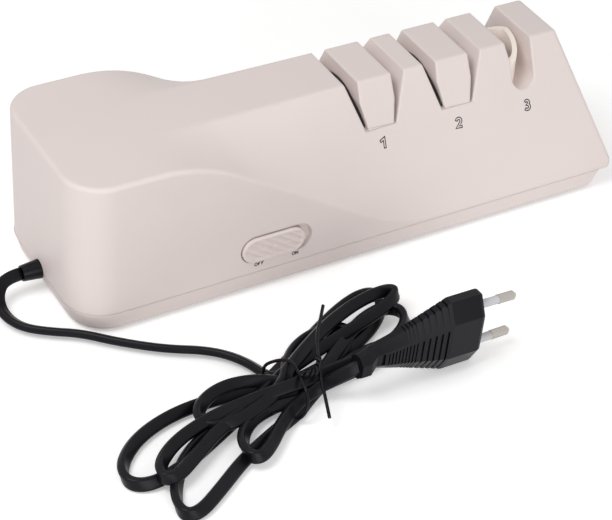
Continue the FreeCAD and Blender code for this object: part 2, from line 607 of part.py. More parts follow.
rings, pins = [], []
spindle = rod_x(SPINDLE_R, SPINDLE_X0, SPINDLE_X1)
for name, stage in zip(("coarse", "fine"), SHARP_STAGES):
    for side, word in ((-1, "left"), (1, "right")):
        def at(d):
            return stage + side * d
        a, b = sorted((at(7.1), at(1.6)))
        disc = rod_x(HUB_R, a, b)
        face = [(0, 7.1), (HUB_R, 7.1), (DISC_R, 6.4), (DISC_R, 4.6), (HUB_R, 5.2), (0, 5.2)]
        outline = Part.makePolygon([vec(at(d), 0, SHAFT_Z + r) for r, d in face] + [vec(at(7.1), 0, SHAFT_Z)])
        disc = disc.fuse(Part.Face(outline).revolve(vec(0, 0, SHAFT_Z), vec(1, 0, 0), 360))
        disc = disc.cut(rod_x(SPINDLE_R + FIT, stage - 10, stage + 10))
        s0, s1 = sorted((at(PIN_OFFSET + 1.05 + DISC_TRAVEL + 0.05), at(1.0)))
        disc = disc.cut(box(s0, s1, -1.05, 1.05, SHAFT_Z - 8, SHAFT_Z + 8))
        NODES["%s_disc_%s" % (name, word)] = disc.removeSplitter()
        pins.append(rod_z(1.0, SHAFT_Z - 6.4, SHAFT_Z + 6.4, at(PIN_OFFSET), 0))
        r0, r1 = sorted((at(7.15), at(7.95)))
        rings.append(pipe_x(5.2, SPINDLE_R - 0.5, r0, r1))
    NODES["%s_disc_spring" % name] = coil_spring(stage)
for ring in rings:
    spindle = spindle.cut(ring)
for pin in pins:
    spindle = spindle.cut(pin)
NODES["disc_spindle"] = spindle
NODES["drive_pins"] = Part.makeCompound(pins)
NODES["retaining_rings"] = Part.makeCompound(rings)
wheel = rod_x(WHEEL_R, WHEEL_X0, WHEEL_X1).fuse(cone_x(WHEEL_R, 7.6, WHEEL_X1, WHEEL_X2))
NODES["polishing_wheel"] = wheel.cut(rod_x(SPINDLE_R, 80, 100))

# Cord entry
relief = cone_x(3.4, 4.2, EXIT_X, LEFT, 0, EXIT_Z).fuse(rod_x(3.2, LEFT, LEFT + WALL, 0, EXIT_Z))
relief = relief.fuse(rod_x(4.8, LEFT + WALL + 0.05, LEFT + WALL + 2.0, 0, EXIT_Z))
relief = relief.fuse(rod_x(3.2, LEFT + WALL - 0.1, LEFT + WALL + 0.2, 0, EXIT_Z))
relief = relief.cut(rod_x(CORD_D / 2, EXIT_X - 1, LEFT + 8, 0, EXIT_Z))
NODES["strain_relief"] = relief.removeSplitter()
bar = box(-125.5, -119.5, -11.0, 11.0, EXIT_Z + 2.7, EXIT_Z + 5.2)
for x, y in CLAMP_SCREWS:
    bar = bar.fuse(rod_z(2.6, PAD_Z, EXIT_Z + 2.7, x, y))
for x, y in CLAMP_SCREWS:
    bar = bar.cut(rod_z(1.3, 0, 30, x, y))
NODES["cord_clamp"] = bar.removeSplitter()
NODES["cord_clamp_screws"] = Part.makeCompound(
    [screw_z(x, y, EXIT_Z + 5.2, 3.6, 2.1, 1.05) for x, y in CLAMP_SCREWS])
NODES["cord_inner"] = rod_x(CORD_D / 2, EXIT_X, -118.0, 0, EXIT_Z)
block = box(-116.0, -109.5, -8.5, 8.5, floor_z, 14.0)
for y in (-4.4, 0.0, 4.4):
    block = block.cut(rod_z(1.6, 10.0, 15.0, -112.7, y)).fuse(rod_z(1.3, 9.9, 12.4, -112.7, y))
NODES["terminal_block"] = block.removeSplitter()

# Free cord: lead, tied hank and the tail to the plug
LEAD = [(EXIT_X, 0.0, EXIT_Z), (-146.2, 0.0, EXIT_Z), (-151.6, -5.0, 6.8), (-152.4, -14.0, 3.6),
        (-148.4, -23.4, 2.75), (-139.6, -30.4, 2.75), (-128.4, -37.0, 2.75), (-118.0, -47.5, 2.75),
        (-102.5, -60.0, 2.75), (-86.5, -68.5, 2.75), (-77.0, -79.5, 2.75), (-72.5, -93.5, 2.75)]
TAIL = [(-41.5, -118.3, PLUG_Z), (-53.0, -119.4, 15.0), (-62.0, -113.5, 9.5), (-69.0, -105.5, 6.0)]
HANK = [(-151.2, -130.0), (-153.2, -121.0), (-149.5, -111.0), (-142.0, -103.0), (-131.0, -97.2), (-118.0, -94.6),
        (-106.0, -93.6), (-97.0, -90.2), (-85.0, -88.8), (-74.0, -89.6), (-66.0, -88.6), (-57.0, -81.0),
        (-46.0, -76.2), (-40.0, -74.6), (-28.0, -67.6), (-19.0, -65.0), (-8.0, -65.2), (-1.0, -67.6),
        (0.2, -76.0), (-3.2, -82.0), (-3.2, -88.0), (-6.2, -95.8), (-13.2, -102.7), (-22.0, -106.2),
        (-33.0, -108.0), (-57.0, -108.4), (-62.0, -112.0), (-67.0, -119.4), (-74.0, -125.0), (-82.0, -129.0),
        (-89.0, -134.4), (-97.0, -137.6), (-104.0, -135.6), (-110.0, -141.0), (-120.0, -147.4),
        (-130.0, -152.4), (-138.0, -153.4), (-142.8, -146.0), (-140.2, -138.6), (-146.0, -135.2)]
hank = Part.Face(Part.makePolygon([vec(x, y, 0.2) for x, y in HANK + HANK[:1]])).extrude(vec(0, 0, HANK_H))


def plug_place(shape):
    shape.rotate(vec(0, 0, 0), vec(0, 1, 0), PLUG_PITCH)
    shape.rotate(vec(0, 0, 0), vec(0, 0, 1), PLUG_TURN)
    shape.translate(vec(PLUG_X, PLUG_Y, PLUG_Z))
    return shape


PLUG_HALF_T, PLUG_HALF_W = 6.5, 16.8
PLUG_RIDGE, PLUG_EDGE = 8.4, 2.0
BLOCK_L, WAIST_X, NECK_X, CAP_X = 15.0, -36.0, -49.0, -55.5


def hexagon(x, thick=1.0, wide=1.0, drop=0.0):
    """Six-sided plug section at x, scaled from the front block's."""
    t, w = PLUG_HALF_T * thick, PLUG_HALF_W * wide
    ridge, edge = PLUG_RIDGE * wide, PLUG_EDGE * thick
    half = [(-t, -ridge), (-edge, -w), (edge, -w), (t, -ridge)]
    points = half + [(-y, -z) for y, z in half]
    return Part.makePolygon([vec(x, y, z - drop) for y, z in points + points[:1]])


def slab(x, width):
    return box(x - width / 2, x + width / 2, -20, 20, -30, 30)


def wedge(thick=1.0, wide=1.0):
    waist = hexagon(WAIST_X, 0.72 * thick, 0.55 * wide)
    return Part.makeLoft([hexagon(-BLOCK_L, thick, wide), waist], True, True).fuse(
        Part.makeLoft([waist, hexagon(NECK_X, 0.6 * thick, 0.31 * wide)], True, True))


body = Part.makeLoft([hexagon(-BLOCK_L), hexagon(-1.2), hexagon(0, 0.93, 0.975)], True, True)
body = body.fuse(wedge())
body = body.fuse(Part.makeLoft([hexagon(NECK_X, 0.6, 0.31), hexagon(NECK_X - 2.5, 0.72, 0.34, 2.6),
                                hexagon(CAP_X, 0.66, 0.31, 3.2)], True, True))
grooves = [slab(-43.4 + 1.55 * k, 0.6) for k in range(9)] + [slab(-28.4 + 2.8 * k, 1.0) for k in range(5)]
broad = wedge(1.05, 1.05).cut(wedge(0.88, 1.05))
broad = broad.common(prism_xz([(-50, 1.2), (-BLOCK_L, 6.4), (-BLOCK_L, -20), (-50, -20)], -20, 20).fuse(
    prism_xz([(-50, -1.2), (-BLOCK_L, -6.4), (-BLOCK_L, 20), (-50, 20)], 0, 20)))
narrow = wedge(1.05, 1.05).cut(wedge(1.05, 0.94))
for groove in grooves:
    body = body.cut(groove.common(broad))
for groove in grooves[5:]:
    body = body.cut(groove.common(narrow))
body = body.cut(box(-46.6, -45.2, -6, 6, -2.6, 2.6).cut(wedge(0.8, 2.0)))
body = body.removeSplitter()
pin_rods, sleeves = [], []
for z in (-9.3, 9.3):
    pin_rod = Part.makeCylinder(1.4, 18.0, vec(-8, 0, 0), vec(1, 0, 0))
    pin_rod = pin_rod.fuse(Part.makeCylinder(PIN_R, 7.6, vec(10, 0, 0), vec(1, 0, 0)))
    pin_rod = pin_rod.fuse(Part.makeCone(PIN_R, 0.9, 1.4, vec(17.6, 0, 0), vec(1, 0, 0)))
    sleeve = Part.makeCylinder(SLEEVE_R, 10.0, vec(0, 0, 0), vec(1, 0, 0))
    sleeve = sleeve.cut(Part.makeCylinder(1.4, 12.0, vec(-1, 0, 0), vec(1, 0, 0)))
    for part, store in ((pin_rod, pin_rods), (sleeve, sleeves)):
        part.rotate(vec(0, 0, 0), vec(0, 1, 0), math.copysign(PIN_TOE_IN, z))
        part.translate(vec(0, 0, z))
        store.append(part)
for rod in pin_rods:
    body = body.cut(rod)
NODES["plug_body"] = plug_place(body.cut(Part.makeCompound(sleeves)).removeSplitter())
NODES["plug_pins"] = plug_place(Part.makeCompound(pin_rods))
NODES["plug_sleeves"] = plug_place(Part.makeCompound(sleeves))

# Twist tie: one wire round the hank, its two ends side by side and then apart
TIE_R = 0.7
TIE_LOW, TIE_TOP = 1.0, HANK_H + 1.1
tie_in, tie_out = vec(-67.0, -89.9, TIE_TOP), vec(-74.5, -122.5, TIE_TOP)
along = (tie_out - tie_in).normalize()
away = vec(-along.y, along.x, 0)
knot = tie_in + along * 13.4
drop = vec(0, 0, TIE_LOW - TIE_TOP)
near, far = knot - along * 0.78, knot + along * 0.78
tie_points = [vec(-50.5, -88.0, TIE_TOP + 3.0), vec(-57.0, -96.0, TIE_TOP + 2.2), near + away * 6 + vec(0, 0, 1.5),
              near + away * 1.6, near - away * 0.4, tie_in, tie_in + drop, tie_out + drop, tie_out,
              far - away * 0.4, far + away * 1.6, far + away * 6 + vec(0, 0, 1.5),
              vec(-64.8, -112.0, TIE_TOP + 0.6), vec(-66.8, -120.0, TIE_TOP - 2.0)]
tie = tube(tie_points, 2 * TIE_R, "twist_tie")
NODES["twist_tie"] = tie
hank = hank.cut(tie)
NODES["cord_hank"] = hank
NODES["cord_lead"] = tube([vec(*p) for p in LEAD], CORD_D, "cord_lead").cut(hank)
NODES["cord_tail"] = tube([vec(*p) for p in TAIL], CORD_D, "cord_tail").cut(hank).cut(NODES["plug_body"])

os.makedirs("parts", exist_ok=True)
total = 0
for name, shape in NODES.items():
    print("%-24s valid %s solids %d volume %9.1f" % (name, shape.isValid(), len(shape.Solids), shape.Volume))
    shape.exportStep("parts/%s.step" % name)
print("nodes", len(NODES))
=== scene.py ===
import json
import math

import bmesh
import bpy
from mathutils import Matrix, Vector


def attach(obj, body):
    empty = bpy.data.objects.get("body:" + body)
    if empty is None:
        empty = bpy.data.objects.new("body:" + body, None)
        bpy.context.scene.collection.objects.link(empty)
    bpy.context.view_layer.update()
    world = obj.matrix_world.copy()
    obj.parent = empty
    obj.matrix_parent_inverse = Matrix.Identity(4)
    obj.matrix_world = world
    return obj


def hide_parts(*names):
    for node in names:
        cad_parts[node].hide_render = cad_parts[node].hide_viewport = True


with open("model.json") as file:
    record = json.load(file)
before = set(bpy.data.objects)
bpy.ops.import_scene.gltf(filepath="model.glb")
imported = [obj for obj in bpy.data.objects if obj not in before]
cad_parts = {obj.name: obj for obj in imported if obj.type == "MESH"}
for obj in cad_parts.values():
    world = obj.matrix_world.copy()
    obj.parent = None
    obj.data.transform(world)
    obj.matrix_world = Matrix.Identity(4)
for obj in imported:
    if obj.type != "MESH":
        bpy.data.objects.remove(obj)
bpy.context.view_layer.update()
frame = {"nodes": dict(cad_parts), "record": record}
nodes = frame["nodes"]
scene = bpy.context.scene
MM = 0.001

# Driving sizes, in millimetres, as in the part
LENGTH = 261.0
HEIGHT = 72.6
WIDTH = 80.0
RIDGE_W = 28.2
PART_Z = 10.1
EXIT_X = -LENGTH / 2 - 8.0
EXIT_Z = 10.3
CORD_W = 5.4
CORD_T = 3.4
SHELL_TOP = 11.5
TIE_R = 0.7


def mm(*values):
    return Vector(values) * MM


# Camera
CAMERA_AT = (-387.03, -628.86, 547.68)
CAMERA_AZIMUTH = math.radians(31.46)
CAMERA_TILT = math.radians(37.99)
CAMERA_ROLL = math.radians(3.89)
CAMERA_LENS = 122.61
CAMERA_SENSOR = 36.0
CAMERA_NEAR = 0.05
CAMERA_FAR = 20.0


def add_camera():
    data = bpy.data.cameras.new("camera")
    data.lens = CAMERA_LENS
    data.sensor_width = CAMERA_SENSOR
    data.clip_start = CAMERA_NEAR
    data.clip_end = CAMERA_FAR
    camera = bpy.data.objects.new("camera", data)
    scene.collection.objects.link(camera)
    ahead = Vector((math.sin(CAMERA_AZIMUTH) * math.cos(CAMERA_TILT),
                    math.cos(CAMERA_AZIMUTH) * math.cos(CAMERA_TILT), -math.sin(CAMERA_TILT)))
    level = Vector((math.cos(CAMERA_AZIMUTH), -math.sin(CAMERA_AZIMUTH), 0))
    upright = level.cross(ahead)
    right = level * math.cos(CAMERA_ROLL) + upright * math.sin(CAMERA_ROLL)
    up = upright * math.cos(CAMERA_ROLL) - level * math.sin(CAMERA_ROLL)
    turn = Matrix((right, up, -ahead)).transposed().to_4x4()
    camera.matrix_world = Matrix.Translation(mm(*CAMERA_AT)) @ turn
    scene.camera = camera


# Studio, in metres and watts
WORLD_LIGHT = 0.49
WORLD_TINT = (1.0, 0.995, 0.99, 1)
FLOOR_HALF = 6.0
FLOOR_PAPER = (0.94, 0.94, 0.94, 1)
FLOOR_LIFT = 0.31
LIGHT_TARGET = (0, 0, 0.03)
# Name, place, width and power of each lamp
LIGHTS = [("front", (-0.2, -1.6, 0.28), 1.4, 13.1),
          ("top_left", (-0.5, -0.1, 0.8), 0.5, 3.2)]


def add_area_light(name, place, size, power):
    data = bpy.data.lights.new(name, "AREA")
    data.shape = "DISK"
    data.size = size
    data.energy = power
    lamp = bpy.data.objects.new(name, data)
    scene.collection.objects.link(lamp)
    lamp.location = place
    lamp.rotation_mode = "QUATERNION"
    lamp.rotation_quaternion = (Vector(LIGHT_TARGET) - Vector(place)).to_track_quat("-Z", "Y")


def seen_directly(tree, path):
    """1 for what the camera sees itself, in a gloss or through glass, and 0 for light on the object."""
    total = path.outputs["Is Camera Ray"]
    for name in ("Is Glossy Ray", "Is Transmission Ray"):
        add = tree.nodes.new("ShaderNodeMath")
        add.operation = "ADD"
        add.use_clamp = True
        tree.links.new(total, add.inputs[0])
        tree.links.new(path.outputs[name], add.inputs[1])
        total = add.outputs["Value"]
    return total


def add_studio():
    scene.view_settings.view_transform = "Standard"
    world = bpy.data.worlds.new("studio")
    scene.world = world
    world.use_nodes = True
    tree = world.node_tree
    tree.nodes.clear()
    out = tree.nodes.new("ShaderNodeOutputWorld")
    back = tree.nodes.new("ShaderNodeBackground")
    light = tree.nodes.new("ShaderNodeBackground")
    mix = tree.nodes.new("ShaderNodeMixShader")
    path = tree.nodes.new("ShaderNodeLightPath")
    back.inputs["Color"].default_value = (1, 1, 1, 1)
    light.inputs["Color"].default_value = WORLD_TINT
    light.inputs["Strength"].default_value = WORLD_LIGHT
    tree.links.new(seen_directly(tree, path), mix.inputs["Fac"])
    tree.links.new(light.outputs["Background"], mix.inputs[1])
    tree.links.new(back.outputs["Background"], mix.inputs[2])
    tree.links.new(mix.outputs["Shader"], out.inputs["Surface"])
    for name, place, size, power in LIGHTS:
        add_area_light(name, place, size, power)


def add_floor():
    mesh = bpy.data.meshes.new("floor")
    corners = [(x * FLOOR_HALF, y * FLOOR_HALF, 0) for x, y in ((-1, -1), (1, -1), (1, 1), (-1, 1))]
    mesh.from_pydata(corners, [], [(0, 1, 2, 3)])
    floor = bpy.data.objects.new("floor", mesh)
    scene.collection.objects.link(floor)
    material = bpy.data.materials.new("floor")
    material.use_nodes = True
    tree = material.node_tree
    tree.nodes.clear()
    out = tree.nodes.new("ShaderNodeOutputMaterial")
    paper = tree.nodes.new("ShaderNodeBsdfDiffuse")
    paper.inputs["Color"].default_value = FLOOR_PAPER
    path = tree.nodes.new("ShaderNodeLightPath")
    glow = tree.nodes.new("ShaderNodeEmission")
    lift = tree.nodes.new("ShaderNodeMath")
    lift.operation = "MULTIPLY"
    lift.inputs[1].default_value = FLOOR_LIFT
    both = tree.nodes.new("ShaderNodeAddShader")
    tree.links.new(seen_directly(tree, path), lift.inputs[0])
    tree.links.new(lift.outputs["Value"], glow.inputs["Strength"])
    tree.links.new(paper.outputs["BSDF"], both.inputs[0])
    tree.links.new(glow.outputs["Emission"], both.inputs[1])
    tree.links.new(both.outputs["Shader"], out.inputs["Surface"])
    floor.data.materials.append(material)


# Materials
PLASTIC_RELIEF = 0.4
METAL_RELIEF = 0.2
SOFT_EDGE = 1.1
SHELL_LIGHT = (0.765, 0.680, 0.655)
SHELL_DARK = (0.745, 0.658, 0.633)
# Painted shade along the seam where the two mouldings meet: its tint, half height and share
SEAM_SHADE_TINT = (0.35, 0.30, 0.28, 1)
SEAM_SHADE_HALF = 0.09
SEAM_SHADE_SHARE = 0.22


def new_material(name, specular=0.35):
    material = bpy.data.materials.new(name)
    material.use_nodes = True
    tree = material.node_tree
    shader = tree.nodes["Principled BSDF"]
    shader.inputs["Specular IOR Level"].default_value = specular
    return material, tree, shader


def moulded_plastic(name, colour, shade, roughness, grain=900.0, depth=0.02, mottle=14.0, specular=0.35,
                    edge=0.0):
    """Moulded plastic: soft colour variation, fine spark-eroded grain, uneven gloss. With an edge, in
    millimetres, the shading rounds the sharp edges by that much."""
    material, tree, shader = new_material(name, specular)
    place = tree.nodes.new("ShaderNodeTexCoord")
    cloud = tree.nodes.new("ShaderNodeTexNoise")
    cloud.inputs["Scale"].default_value = mottle
    cloud.inputs["Detail"].default_value = 3.0
    ramp = tree.nodes.new("ShaderNodeValToRGB")
    ramp.color_ramp.elements[0].position = 0.3
    ramp.color_ramp.elements[0].color = (*shade, 1)
    ramp.color_ramp.elements[1].position = 0.7
    ramp.color_ramp.elements[1].color = (*colour, 1)
    fine = tree.nodes.new("ShaderNodeTexNoise")
    fine.inputs["Scale"].default_value = grain
    fine.inputs["Detail"].default_value = 2.0
    bump = tree.nodes.new("ShaderNodeBump")
    bump.inputs["Strength"].default_value = depth
    bump.inputs["Distance"].default_value = PLASTIC_RELIEF * MM
    gloss = tree.nodes.new("ShaderNodeMapRange")
    gloss.inputs["To Min"].default_value = roughness - 0.05
    gloss.inputs["To Max"].default_value = roughness + 0.05
    links = tree.links
    links.new(place.outputs["Object"], cloud.inputs["Vector"])
    links.new(place.outputs["Object"], fine.inputs["Vector"])
    links.new(cloud.outputs["Fac"], ramp.inputs["Fac"])
    links.new(ramp.outputs["Color"], shader.inputs["Base Color"])
    links.new(fine.outputs["Fac"], bump.inputs["Height"])
    links.new(cloud.outputs["Fac"], gloss.inputs["Value"])
    links.new(gloss.outputs["Result"], shader.inputs["Roughness"])
    links.new(bump.outputs["Normal"], shader.inputs["Normal"])
    if edge:
        soft = tree.nodes.new("ShaderNodeBevel")
        soft.samples = 8
        soft.inputs["Radius"].default_value = edge * MM
        links.new(soft.outputs["Normal"], bump.inputs["Normal"])
    return material


def metal(name, colour, roughness, scale=400.0, stretch=(1.0, 1.0, 1.0), depth=0.05):
    """Metal with an uneven tint and gloss. Stretch draws the grain out along an axis, as brushing does."""
    material, tree, shader = new_material(name)
    shader.inputs["Metallic"].default_value = 1.0
    place = tree.nodes.new("ShaderNodeTexCoord")
    mapping = tree.nodes.new("ShaderNodeMapping")
    mapping.inputs["Scale"].default_value = stretch
    grain = tree.nodes.new("ShaderNodeTexNoise")
    grain.inputs["Scale"].default_value = scale
    gloss = tree.nodes.new("ShaderNodeMapRange")
    gloss.inputs["To Min"].default_value = roughness - 0.06
    gloss.inputs["To Max"].default_value = roughness + 0.08
    tint = tree.nodes.new("ShaderNodeMixRGB")
    tint.inputs["Color1"].default_value = (*(c * 0.86 for c in colour), 1)
    tint.inputs["Color2"].default_value = (*colour, 1)
    bump = tree.nodes.new("ShaderNodeBump")
    bump.inputs["Strength"].default_value = depth
    bump.inputs["Distance"].default_value = METAL_RELIEF * MM
    links = tree.links
    links.new(place.outputs["Object"], mapping.inputs["Vector"])
    links.new(mapping.outputs["Vector"], grain.inputs["Vector"])
    links.new(grain.outputs["Fac"], gloss.inputs["Value"])
    links.new(grain.outputs["Fac"], tint.inputs["Fac"])
    links.new(grain.outputs["Fac"], bump.inputs["Height"])
    links.new(gloss.outputs["Result"], shader.inputs["Roughness"])
    links.new(tint.outputs["Color"], shader.inputs["Base Color"])
    links.new(bump.outputs["Normal"], shader.inputs["Normal"])
    return material


def add_seam_shade(material, height):
    """Darkens a thin line round the object at one height, where the two mouldings meet: painted shade in the
    seam.
    """
    tree = material.node_tree
    shader = tree.nodes["Principled BSDF"]
    before = shader.inputs["Base Color"].links[0].from_socket
    place = tree.nodes.new("ShaderNodeTexCoord")
    split = tree.nodes.new("ShaderNodeSeparateXYZ")
    near = tree.nodes.new("ShaderNodeMath")
    near.operation = "COMPARE"
    near.inputs[1].default_value = height * MM
    near.inputs[2].default_value = SEAM_SHADE_HALF * MM
    share = tree.nodes.new("ShaderNodeMath")
    share.operation = "MULTIPLY"
    share.inputs[1].default_value = SEAM_SHADE_SHARE
    mix = tree.nodes.new("ShaderNodeMixRGB")
    mix.blend_type = "MULTIPLY"
    mix.inputs["Color2"].default_value = SEAM_SHADE_TINT
    tree.links.new(place.outputs["Object"], split.inputs["Vector"])
    tree.links.new(split.outputs["Z"], near.inputs[0])
    tree.links.new(near.outputs["Value"], share.inputs[0])
    tree.links.new(share.outputs["Value"], mix.inputs["Fac"])
    tree.links.new(before, mix.inputs["Color1"])
    tree.links.new(mix.outputs["Color"], shader.inputs["Base Color"])


MATERIALS = {}


def make_materials():
    MATERIALS.update(
        shell=moulded_plastic("shell_plastic", SHELL_LIGHT, SHELL_DARK, 0.5, edge=SOFT_EDGE),
        trim=moulded_plastic("guide_plastic", SHELL_LIGHT, SHELL_DARK, 0.5, edge=SOFT_EDGE),
        # The hood's colour is painted lighter than the shell plastic: painted light that makes up for the
        # shade it sits in within its slot
        hood=moulded_plastic("hood_plastic_painted_light", (0.90, 0.81, 0.74), (0.88, 0.79, 0.72), 0.45),
        switch=moulded_plastic("switch_plastic", (0.77, 0.675, 0.645), (0.75, 0.655, 0.625), 0.42),
        print=moulded_plastic("label_ink", (0.03, 0.03, 0.036), (0.022, 0.022, 0.028), 0.6, specular=0.1),
        # Darker plastic for the lines of painted shade under the guide blocks
        seam=moulded_plastic("seam_shadow", (0.60, 0.52, 0.50), (0.56, 0.48, 0.46), 0.7, specular=0.1),
        black_plastic=moulded_plastic("dark_plastic", (0.009, 0.009, 0.012), (0.005, 0.005, 0.007), 0.48,
                                      specular=0.16),
        cord=moulded_plastic("cord_sheath", (0.006, 0.006, 0.009), (0.003, 0.003, 0.005), 0.33,
                             500, 0.03, 60, specular=0.16),
        rubber=moulded_plastic("rubber_black", (0.03, 0.03, 0.03), (0.02, 0.02, 0.02), 0.75, 700, 0.1),
        steel=metal("steel_bright", (0.62, 0.62, 0.63), 0.3),
        laminations=metal("steel_laminated", (0.25, 0.25, 0.27), 0.5, 300, (20, 0.1, 0.1), 0.4),
        zinc=metal("zinc_cast", (0.6, 0.6, 0.61), 0.45, 250, depth=0.15),
        copper=metal("copper_enamelled", (0.55, 0.2, 0.08), 0.35, 200, (1, 12, 1), 0.3),
        bronze=metal("bronze_sintered", (0.55, 0.38, 0.18), 0.45, 900, depth=0.2),
        nickel=metal("nickel_plate", (0.50, 0.47, 0.43), 0.28, 120, (1, 6, 6), 0.04),
        grit=metal("grit_bonded", (0.28, 0.28, 0.29), 0.6, 2500, depth=0.6),
        sleeve=moulded_plastic("sleeve_plastic", (0.60, 0.60, 0.62), (0.54, 0.54, 0.56), 0.45),
        inner_plastic=moulded_plastic("inner_plastic", (0.62, 0.58, 0.52), (0.58, 0.54, 0.48), 0.5),
    )
    # Painted shade along the shell's parting seam
    add_seam_shade(MATERIALS["shell"], PART_Z)
    slots = {entry["node"]: entry["material_slot"] for entry in frame["record"]["subparts"]}
    for name, node in nodes.items():
        node.data.materials.clear()
        node.data.materials.append(MATERIALS[slots[name]])


def add_piece(name, mesh, material, body):
    """A piece of the scene: a mesh with its material, riding on a body of the part."""
    piece = bpy.data.objects.new(name, mesh)
    scene.collection.objects.link(piece)
    mesh.materials.clear()
    mesh.materials.append(MATERIALS[material])
    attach(piece, body)
    return piece


# Cord
LEAD = [(EXIT_X, 0, EXIT_Z), (-146.2, 0, EXIT_Z), (-151.6, -5.0, 6.8), (-152.4, -14.0, 3.6),
        (-148.4, -23.4, 2.75), (-139.6, -30.4, 2.75), (-128.4, -37.0, 2.75), (-118.0, -47.5, 2.75),
        (-102.5, -60.0, 2.75), (-86.5, -68.5, 2.75), (-77.0, -79.5, 2.75), (-72.5, -93.5, 2.75)]
HANK_LOOPS = [
    # tip of the loop, half width, bow of its axis, sharpness at the tie, place under the tie where it ends
    ((-7.4, -66.2, 2.9), 11.2, -2.9, 0.54, (-69.0, -101.0, 2.0)),
    ((-148.9, -122.8, 2.75), -16.6, -5.4, 0.56, (-70.0, -97.5, 5.6)),
    ((-3.6, -74.6, 9.6), -7.3, 2.3, 0.76, (-69.0, -100.5, 10.4)),
    ((-110.8, -108.8, 6.0), 11.4, -2.3, 0.22, (-70.0, -103.5, 5.6)),
    ((-31.4, -82.7, 4.6), 9.4, 3.4, 0.3, (-70.0, -108.5, 5.6)),
    ((-137.5, -129.9, 6.4), 11.1, -7.9, 2.0, (-69.5, -108.6, 10.4)),
    ((-6.3, -83.0, 6.6), -14.5, -1.3, 1.07, (-69.5, -113.0, 4.8)),
    ((-137.1, -147.3, 2.8), -12.1, -10.0, 0.32, (-70.0, -115.0, 2.2)),
    ((-18.9, -97.9, 2.2), 5.5, 2.0, 0.84, (-70.0, -108.5, 2.0)),
    ((-101.7, -133.7, 5.8), -8.2, -4.4, 0.63, (-67.5, -112.1, 5.0))]
LOOP_POINTS = 12
TAIL = [(-60.5, -110.5, 6.5), (-55.5, -112.2, 9.5), (-51.5, -114.8, 13.5), (-47.5, -116.2, 16.3),
        (-43.0, -116.6, 17.2)]
FLOOR_REACH = CORD_W / 2 + 0.05
CORD_CORNER = 1.15
CORD_GROOVE = 0.12


def loop_points(start, tip, half_width, bow, sharpness, end):
    """One loop of the hank: out from under the tie, round its tip and back under the tie."""
    start, tip, end = Vector(start), Vector(tip), Vector(end)
    side = (tip - (start + end) / 2).to_2d().orthogonal().normalized().to_3d()
    points = []
    for k in range(1, LOOP_POINTS):
        t = k / LOOP_POINTS
        out = math.sin(math.pi * t) ** 2
        spread = half_width * math.sin(2 * math.pi * t) * out ** sharpness + bow * math.sin(math.pi * out)
        here = start.lerp(end, t)
        points.append(here.lerp(tip, out) + side * spread)
    return points + [end]


def cord_route():
    """Control points of the whole cord: the lead, the loops of the hank and the short end to the plug."""
    points = [Vector(p) for p in LEAD]
    for tip, half_width, bow, sharpness, end in HANK_LOOPS:
        points += loop_points(points[-1], tip, half_width, bow, sharpness, end)
    points += [Vector(p) for p in TAIL]
    return [Vector((p.x, p.y, max(p.z, FLOOR_REACH))) for p in points]


def spline_line(points, steps=8):
    """Points read from the NURBS spline that has these control points."""
    data = bpy.data.curves.new("line", "CURVE")
    data.dimensions = "3D"
    spline = data.splines.new("NURBS")
    spline.points.add(len(points) - 1)
    for control, point in zip(spline.points, points):
        control.co = (*mm(*point), 1)
    spline.order_u = 3
    spline.use_endpoint_u = True
    spline.resolution_u = steps
    bare = bpy.data.objects.new("line", data)
    mesh = bpy.data.meshes.new_from_object(bare)
    line = [v.co.copy() for v in mesh.vertices]
    bpy.data.objects.remove(bare)
    bpy.data.meshes.remove(mesh)
    bpy.data.curves.remove(data)
    return line


def smooth_values(values, reach):
    """Running mean of the values over the given reach each way."""
    out = []
    for i in range(len(values)):
        part = values[max(0, i - reach):i + reach + 1]
        out.append(sum(part) / len(part))
    return out


HANK_WAY = Vector((0.92, 0.39, 0))
LEAD_ROLL = math.radians(-38)
HANK_TILT = math.radians(50)
ROLL_REACH = 3
ROLL_SMOOTHING = 10


def cord_rolls(line, lead_share):
    """Roll of the flat cord: a fixed lean in the lead, on edge round the tips of the hank's loops,
    and with a broad face up and to the front between them."""
    rolls = []
    for i in range(len(line)):
        ahead = (line[min(len(line) - 1, i + ROLL_REACH)] - line[max(0, i - ROLL_REACH)]).normalized()
        in_lead = i < lead_share * len(line)
        rolls.append(LEAD_ROLL if in_lead else math.pi / 2 - HANK_TILT * ahead.dot(HANK_WAY))
    return smooth_values(rolls, ROLL_SMOOTHING)


def sweep(name, line, rolls, profile):
    """A closed mesh tube whose section turns with rolls round the line."""
    mesh = bmesh.new()
    rings = []
    for i, here in enumerate(line):
        ahead = (line[min(len(line) - 1, i + 1)] - line[max(0, i - 1)]).normalized()
        side = Vector((0, 0, 1)).cross(ahead).normalized()
        up = ahead.cross(side)
        c, s = math.cos(rolls[i]), math.sin(rolls[i])
        broad, thin = side * c + up * s, up * c - side * s
        rings.append([mesh.verts.new(here + broad * x + thin * y) for x, y in profile])
    n = len(profile)
    for r0, r1 in zip(rings, rings[1:]):
        for k in range(n):
            mesh.faces.new((r0[k], r0[(k + 1) % n], r1[(k + 1) % n], r1[k]))
    mesh.faces.new(rings[0][::-1])
    mesh.faces.new(rings[-1])
    bmesh.ops.recalc_face_normals(mesh, faces=mesh.faces)
    for face in mesh.faces:
        face.smooth = len(face.verts) == 4
    data = bpy.data.meshes.new(name)
    mesh.to_mesh(data)
    mesh.free()
    return data


def flat_section(width, thickness, corner, steps=4):
    """Flat twin section: rounded corners and a slight hollow along the middle of each broad face."""
    points = []
    for turn in range(4):
        x = (width / 2 - corner) * (1, -1, -1, 1)[turn]
        y = (thickness / 2 - corner) * (1, 1, -1, -1)[turn]
        for k in range(steps + 1):
            a = math.pi / 2 * (turn + k / steps)
            points.append(((x + corner * math.cos(a)) * MM, (y + corner * math.sin(a)) * MM))
        if turn in (0, 2):
            points.append((0.0, (thickness / 2 - CORD_GROOVE) * MM * (1 - turn)))
    return points


